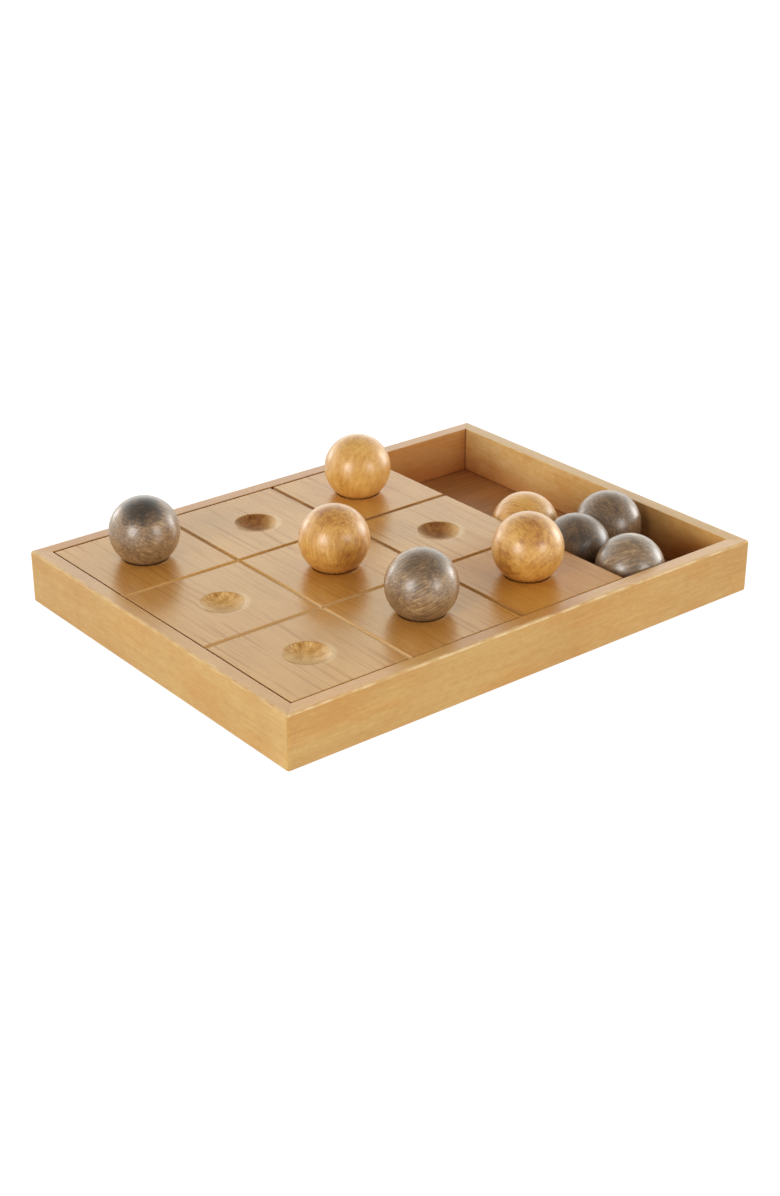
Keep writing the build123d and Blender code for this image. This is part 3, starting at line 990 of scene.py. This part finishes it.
def add_edge(build):
    """Eased arris, sides and underside."""
    outline = board_outline()

    def offset_row(offset, height_at):
        return [
            build.vertex(x + out_x * offset, y + out_y * offset, height_at(z))
            for (x, y, z), (out_x, out_y) in outline
        ]

    rows = []
    for k in range(ARRIS_STEPS + 1):
        angle = math.pi / 2 * k / ARRIS_STEPS
        drop = -ARRIS * (1 - math.cos(angle))
        # the arris is half as deep where a groove runs out
        rows.append(offset_row(ARRIS * math.sin(angle),
                               lambda z: z + drop * (1.0 if z > -0.01 else 0.5)))
    for offset, height in (
        (ARRIS, -2.6),
        (ARRIS, -4.0),
        (ARRIS, -7.0),
        (ARRIS, -(BOARD_THICK - 0.9)),
        (ARRIS, -(BOARD_THICK - 0.35)),
        (ARRIS - 0.1, -(BOARD_THICK - 0.1)),
        (ARRIS - 0.35, -BOARD_THICK),
    ):
        rows.append(offset_row(offset, lambda z: height))
    underside = []
    for i in rows[-1]:
        x, y, _ = build.vertices[i]
        underside.append(build.vertex(x * 0.97, y * 0.97, -BOARD_THICK))
    build.join(rows + [underside])
    build.faces.append(list(dict.fromkeys(underside)))


def make_board():
    """The playing board: nine dishes, rounded grooves, eased edges."""
    build = MeshBuilder()
    for column, span_x in enumerate(CELLS):
        for row, span_y in enumerate(CELLS):
            add_cell(build, (column - 1) * SEAT_PITCH, (row - 1) * SEAT_PITCH, span_x, span_y)
    add_grooves(build)
    add_edge(build)
    mesh = bpy.data.meshes.new("playing_board_top")
    placed = [((BOARD_X + x) * MM, (BOARD_Y + y) * MM, (BOARD_TOP + z) * MM)
              for x, y, z in build.vertices]
    mesh.from_pydata(placed, [], build.faces)
    mesh.validate()
    bm = bmesh.new()
    bm.from_mesh(mesh)
    bmesh.ops.remove_doubles(bm, verts=bm.verts, dist=1e-6)
    bmesh.ops.recalc_face_normals(bm, faces=bm.faces)
    bm.to_mesh(mesh)
    bm.free()
    obj = add_object("playing_board_top", mesh)
    smooth(obj)
    normals = obj.modifiers.new("normals", "WEIGHTED_NORMAL")
    normals.weight = 100
    normals.keep_sharp = True
    return obj


board = make_board()
assign(board, board_wood)
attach(board, "tray")
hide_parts("playing_board")

# ------------------------------------------------------------------ balls

# colour stops from light to dark: (place, sRGB)
DARK_STOPS = [(0.0, (222, 195, 151)), (0.25, (187, 153, 110)), (0.5, (137, 105, 71)),
              (0.75, (84, 62, 41)), (1.0, (37, 28, 19))]
LIGHT_STOPS = [(0.0, (247, 215, 152)), (0.3, (230, 184, 104)), (0.55, (209, 154, 70)),
               (0.8, (174, 112, 42)), (1.0, (129, 76, 28))]
DARK = dict(stops=DARK_STOPS, sheen=(0.80, 0.97, 1.0), specular=0.5, coat_ior=1.58, ring=0.05)
LIGHT = dict(stops=LIGHT_STOPS, warm=0.6, gain=0.44, pore=0.18)

# arguments of turned_wood for each ball
# patches high on a ball paint the shade of its cap
BALLS = {
    # fine short hairs, a dark cap of painted shade on top
    "ball_dark_1": DARK | dict(
        grain=(0.80, -0.30, -0.5), offset=(11, 5, 3), pith=(-34, 12), spacing=2.1,
        hair=0.52, streak=0.20, speckle=0.16, mottle=0.26, grain_freq=0.05, bias=-0.02,
        patches=((0.0, 0.62, 0.78, 30, 0.60), (0.1, 0.9, 0.3, 20, 0.14))),
    # long grain rising to the right
    "ball_dark_2": DARK | dict(
        grain=(0.86, 0.46, 0.12), offset=(60, 9, -14), pith=(-40, -18), spacing=2.6,
        hair=0.62, streak=0.24, speckle=0.05, mottle=0.30, grain_freq=0.013, bend=0.35,
        bias=-0.03, gain=0.46,
        patches=((0.1, 0.66, 0.72, 32, 0.26), (-0.75, -0.55, 0.35, 26, 0.16))),
    "ball_dark_3": DARK | dict(
        grain=(0.7, -0.5, 0.5), offset=(110, -25, 8), pith=(-28, 22), spacing=1.9,
        hair=0.5, streak=0.22, speckle=0.22, mottle=0.26, grain_freq=0.08, bias=0.06),
    "ball_dark_4": DARK | dict(
        grain=(0.2, 0.3, 0.9), offset=(160, 15, 12), pith=(-30, 6), spacing=2.2,
        hair=0.2, streak=0.2, speckle=0.26, mottle=0.5, bias=0.17),
    "ball_dark_5": DARK | dict(
        grain=(0.9, 0.35, 0.2), offset=(210, -2, 20), pith=(-44, 14), spacing=3.4,
        hair=0.34, streak=0.48, speckle=0.08, bend=0.9, grain_freq=0.03,
        sheen=(0.66, 0.93, 1.0), specular=0.85),
    # big soft clouds
    "ball_light_1": LIGHT | dict(
        grain=(0.3, 0.9, 0.35), offset=(260, 3, 5), pith=(-52, 8), spacing=4.5, ring=0.08,
        hair=0.16, streak=0.24, speckle=0.14, mottle=0.60, pore=0.12, dots=0.15, bias=-0.03,
        patches=((0.25, -0.55, 0.8, 24, -0.14),)),
    # upright grain, painted shade on top, darker low on the right
    "ball_light_2": LIGHT | dict(
        grain=(0.05, 0.95, 0.25), offset=(310, 30, -9), pith=(-26, 12), spacing=2.8, ring=0.10,
        hair=0.24, streak=0.34, speckle=0.28, mottle=0.40, dots=0.5, bias=0.05,
        patches=((0.05, 0.7, 0.7, 26, 0.20), (0.60, -0.55, 0.55, 24, 0.26),
                 (-0.2, -0.45, 0.85, 20, -0.08))),
    # diagonal grain, mottled
    "ball_light_3": LIGHT | dict(
        grain=(0.55, -0.70, 0.45), offset=(360, -30, 2), pith=(-60, 22), spacing=3.1, ring=0.10,
        hair=0.24, streak=0.26, speckle=0.24, mottle=0.60, dots=0.35, bias=0.03,
        patches=((0.05, 0.55, 0.8, 26, 0.16), (-0.75, -0.45, 0.45, 20, 0.30))),
    "ball_light_4": LIGHT | dict(
        grain=(0.8, -0.3, 0.4), offset=(410, 12, 30), pith=(-48, 3), spacing=3.0, ring=0.12,
        hair=0.22, streak=0.28, speckle=0.2, mottle=0.45, dots=0.3),
}
BALL_CUTS = 47  # cuts across each face of the cube a ball is made from


def cube_to_sphere(x, y, z):
    """Even-area map from the cube's surface to the unit sphere."""

    def part(along, other, third):
        squares = other * other / 2, third * third / 2
        cross = other * other * third * third / 3
        return along * math.sqrt(max(0.0, 1 - squares[0] - squares[1] + cross))

    return Vector((part(x, y, z), part(y, z, x), part(z, x, y))).normalized()


def make_ball(name, seed):
    low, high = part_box(name)
    radius = (high.z - low.z) / 2
    centre = (low + high) / 2
    centre.z = low.z + radius
    broad_shift = Vector((seed * 3.1, seed * 1.7, seed * 0.9))
    fine_shift = Vector((seed * 1.3, seed * 5.7, seed * 2.9))
    bm = bmesh.new()
    bmesh.ops.create_cube(bm, size=2.0)
    bmesh.ops.subdivide_edges(bm, edges=bm.edges[:], cuts=BALL_CUTS, use_grid_fill=True)
    for vertex in bm.verts:
        vertex.co = cube_to_sphere(*vertex.co)
        # a hand-finished ball is never quite round, and only ever smaller than its gauge
        broad = vector_noise.noise(vertex.co * 1.7 + broad_shift)
        fine = vector_noise.noise(vertex.co * 5.0 + fine_shift)
        vertex.co *= radius * (1.0 - 0.0016 * (0.5 + 0.5 * broad) - 0.0004 * (0.5 + 0.5 * fine))
    mesh = bpy.data.meshes.new(name.replace("ball", "turned_ball"))
    bm.to_mesh(mesh)
    bm.free()
    obj = add_object(mesh.name, mesh)
    obj.location = centre
    smooth(obj)
    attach(obj, name)
    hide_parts(name)
    "dark_wood" if "dark" in name else "light_wood"
    return obj


for seed, (name, look) in enumerate(BALLS.items(), start=1):
    ball = make_ball(name, seed)
    assign(ball, turned_wood(name.replace("ball", "turned"), **look))

# ------------------------------------------------------------------ camera

CAMERA_AT = (-0.78901, -0.97535, 0.60524)


def make_camera():
    data = bpy.data.cameras.new("camera")
    camera = add_object("camera", data)
    right = math.cos(CAMERA_ROLL) * VIEW_RIGHT + math.sin(CAMERA_ROLL) * VIEW_UP
    up = -math.sin(CAMERA_ROLL) * VIEW_RIGHT + math.cos(CAMERA_ROLL) * VIEW_UP
    rows = [(right[i], up[i], -VIEW[i], CAMERA_AT[i]) for i in range(3)]
    camera.matrix_world = Matrix((*rows, (0, 0, 0, 1)))
    data.sensor_fit = "AUTO"
    data.sensor_width = 36.0
    data.lens = 58.7275585
    data.shift_x = 0.0106354515
    data.shift_y = 0.000434782609
    data.clip_end = 50
    scene.camera = camera


make_camera()

# ------------------------------------------------------------------ stage and light

FLOOR_HALF = 12.0
LIGHT_DISTANCE = 3.0
LIGHT_TARGET = Vector((0, 0, 0.03))


def make_floor():
    """Pale floor that looks brighter to the camera than it lights the pieces."""
    size = FLOOR_HALF
    mesh = bpy.data.meshes.new("floor")
    corners = [(-size, -size, 0), (size, -size, 0), (size, size, 0), (-size, size, 0)]
    mesh.from_pydata(corners, [], [(0, 1, 2, 3)])
    add_object("floor", mesh)
    material, tree = new_material("pale_floor")
    seen = add_node(tree, "ShaderNodeLightPath", output="Is Camera Ray")
    diffuse = add_node(tree, "ShaderNodeBsdfDiffuse", {"Color": (0.30, 0.30, 0.30, 1)})
    glow = add_node(tree, "ShaderNodeEmission", {
        "Color": (1, 1, 1, 1),
        "Strength": seen.between(0.48, 0.90),
    })
    both = add_node(tree, "ShaderNodeAddShader", {0: diffuse, 1: glow})
    add_node(tree, "ShaderNodeOutputMaterial", {0: both})
    mesh.materials.append(material)


def soft_light(name, side, elevation, size, watts):
    """Area light; side is in degrees from the camera's direction, positive to the right."""
    side = math.radians(side)
    level = -LEVEL_VIEW * math.cos(side) + VIEW_RIGHT * math.sin(side)
    elevation = math.radians(elevation)
    direction = level * math.cos(elevation) + Vector((0, 0, 1)) * math.sin(elevation)
    data = bpy.data.lights.new(name, "AREA")
    data.shape = "RECTANGLE"
    data.size, data.size_y = size
    data.energy = watts
    light = add_object(name, data)
    light.location = LIGHT_TARGET + direction * LIGHT_DISTANCE
    light.rotation_mode = "QUATERNION"
    light.rotation_quaternion = (-direction).to_track_quat("-Z", "Y")
    light.visible_camera = False


def make_world():
    """Plain white to the camera; a lit sweep behind the object and a dim room elsewhere."""
    world = bpy.data.worlds.new("studio")
    scene.world = world
    world.use_nodes = True
    tree = world.node_tree
    tree.nodes.clear()
    direction = add_node(tree, "ShaderNodeTexCoord", output="Generated")
    forward = direction.dot(LEVEL_VIEW)
    height = direction.split()[2]
    # the sweep falls off with height, and again overhead
    sweep = height.ease(0.12, 0.62, 1.95, 1.25) * height.ease(0.58, 0.86, 1.0, 0.26)
    room = height.ease(0.30, 0.88, 0.44, 0.32)
    lighting = add_node(tree, "ShaderNodeBackground", {
        "Color": (1.0, 0.985, 0.93, 1),
        "Strength": forward.ease(-0.35, 0.25).between(room, sweep),
    })
    backdrop = add_node(tree, "ShaderNodeBackground", {"Color": (1, 1, 1, 1), "Strength": 1.02})
    seen = add_node(tree, "ShaderNodeLightPath", output="Is Camera Ray")
    mixed = add_node(tree, "ShaderNodeMixShader", {0: seen, 1: lighting, 2: backdrop})
    add_node(tree, "ShaderNodeOutputWorld", {0: mixed})


make_floor()
soft_light("key_left", side=-36.0, elevation=17.0, size=(1.25, 1.35), watts=45.0)
soft_light("key_right", side=46.5, elevation=16.5, size=(1.05, 1.2), watts=25.0)
soft_light("rim_right", side=118.0, elevation=9.0, size=(1.1, 1.3), watts=24.0)
soft_light("rim_left", side=-131.0, elevation=6.0, size=(0.7, 1.0), watts=10.0)
make_world()

scene.view_settings.view_transform = "Standard"
scene.view_settings.look = "None"
scene.view_settings.exposure = 0.0
scene.view_settings.gamma = 1.0
scene.cycles.use_denoising = True
scene.cycles.max_bounces = 8
scene.cycles.sample_clamp_indirect = 6.0
